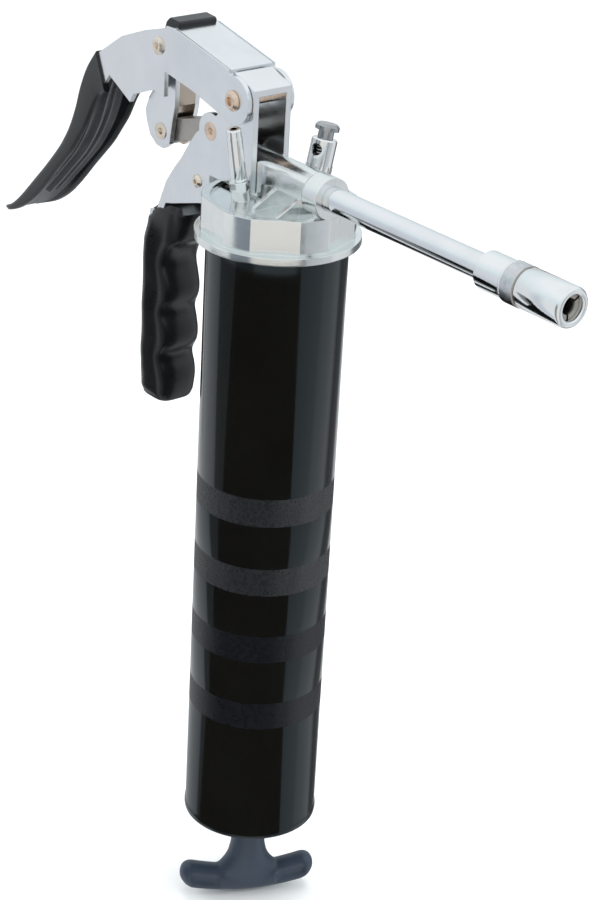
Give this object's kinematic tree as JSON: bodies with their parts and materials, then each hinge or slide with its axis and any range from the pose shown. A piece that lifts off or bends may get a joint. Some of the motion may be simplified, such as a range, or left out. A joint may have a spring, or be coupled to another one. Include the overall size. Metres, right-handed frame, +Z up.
{
  "type": "grease gun",
  "caption": "Hand-lever grease gun: upright barrel with a follower rod and bar handle, pump head, squeeze lever over a pistol grip, straight outlet pipe and grease coupler.",
  "frame": {"origin": "on the barrel axis at the lower face of the head's collar", "axes": "+Z up the barrel axis towards the lever, +X forward along the outlet pipe, +Y to the left of a person holding the gun"},
  "size_m": [0.3464, 0.0666, 0.3873],
  "materials": {
    "cast_head": "bright satin casting",
    "plated_steel": "bright zinc plate",
    "chrome_steel": "bright chrome plate",
    "pipe_steel": "polished plated steel",
    "copper_pin": "copper-tinted plate",
    "dark_steel": "oiled steel",
    "spring_steel": "drawn wire",
    "black_paint": "gloss black enamel",
    "black_plastic": "black, fine grain",
    "grey_plastic": "slate grey, satin",
    "dark_plastic": "moulded",
    "seal_rubber": "oil-proof rubber"
  },
  "bodies": {
    "head": {"head_casting": "cast_head", "handle_bracket": "plated_steel", "pistol_grip": "black_plastic", "bracket_rivets": "plated_steel", "lever_pin": "copper_pin", "crank_pin": "copper_pin", "filler_nipple": "plated_steel", "bleeder_body": "plated_steel", "bleeder_spring": "spring_steel", "plunger_seal": "seal_rubber", "outlet_spring": "spring_steel", "extension_tube": "pipe_steel", "coupler_body": "chrome_steel", "coupler_sleeve": "chrome_steel", "coupler_seal": "seal_rubber", "coupler_spring": "spring_steel"},
    "lever": {"lever": "plated_steel", "lever_grip": "black_plastic", "link_pin": "plated_steel"},
    "link": {"drive_link": "plated_steel", "crank_link_pin": "plated_steel"},
    "crank": {"crank": "dark_steel", "plunger_pin": "dark_steel"},
    "plunger": {"plunger": "dark_steel"},
    "bleeder": {"bleeder_button": "plated_steel"},
    "ball": {"outlet_ball": "spring_steel"},
    "jaws": {"coupler_jaws": "dark_steel"},
    "gasket": {"barrel_gasket": "seal_rubber"},
    "barrel": {"barrel_tube": "black_paint", "end_cap": "black_paint", "rod_bushing": "dark_plastic", "follower_spring": "spring_steel"},
    "rod": {"follower_rod": "pipe_steel", "t_handle": "grey_plastic"},
    "follower": {"follower_cup": "seal_rubber", "follower_plate": "plated_steel"}
  },
  "joints": [
    {"name": "lever_pivot", "type": "hinge", "parent": "head", "child": "lever", "pos_m": [-0.0175, 0, 0.0525], "axis": [0, -1, 0], "range_deg": [0, 25]},
    {"name": "link_pivot", "type": "hinge", "parent": "lever", "child": "link", "pos_m": [-0.067, 0, 0.062], "axis": [0, -1, 0], "range_deg": [-4.5, 0.1]},
    {"name": "crank_pivot", "type": "hinge", "parent": "head", "child": "crank", "pos_m": [-0.034, 0, 0.0352], "axis": [0, -1, 0], "range_deg": [0, 37.7]},
    {"name": "plunger_slide", "type": "slide", "parent": "head", "child": "plunger", "axis": [1, 0, 0], "range_m": [0, 0.00665]},
    {"name": "bleeder_press", "type": "slide", "parent": "head", "child": "bleeder", "axis": [0, -0.2113, -0.9774], "range_m": [0, 0.002], "stiffness_N_per_m": 900, "springref_m": -0.002, "deforming": ["bleeder_spring"]},
    {"name": "outlet_check", "type": "slide", "parent": "head", "child": "ball", "axis": [1, 0, 0], "range_m": [0, 0.0013], "stiffness_N_per_m": 300, "springref_m": -0.002, "deforming": ["outlet_spring"]},
    {"name": "jaw_slide", "type": "slide", "parent": "head", "child": "jaws", "axis": [-1, 0, 0], "range_m": [0, 0.0015], "stiffness_N_per_m": 2000, "springref_m": -0.002, "deforming": ["coupler_spring"]},
    {"name": "barrel_travel", "type": "slide", "parent": "head", "child": "gasket", "axis": [0, 0, -1], "range_m": [0, 0.0101]},
    {"name": "barrel_turn", "type": "hinge", "parent": "gasket", "child": "barrel", "pos_m": [0, 0, 0], "axis": [0, 0, -1], "range_deg": [0, 1800]},
    {"name": "rod_slide", "type": "slide", "parent": "barrel", "child": "rod", "axis": [0, 0, -1], "range_m": [0, 0.2]},
    {"name": "follower_slide", "type": "slide", "parent": "barrel", "child": "follower", "axis": [0, 0, -1], "range_m": [0, 0.19], "stiffness_N_per_m": 120, "springref_m": -0.12, "deforming": ["follower_spring"]}
  ],
  "couplings": [
    {"joint": "link_pivot", "follows": "lever_pivot", "ratio": -0.18},
    {"joint": "crank_pivot", "follows": "lever_pivot", "ratio": 1.505},
    {"joint": "plunger_slide", "follows": "lever_pivot", "m_per_rad": 0.015216},
    {"joint": "barrel_travel", "follows": "barrel_turn", "m_per_rad": 0.00031831}
  ]
}
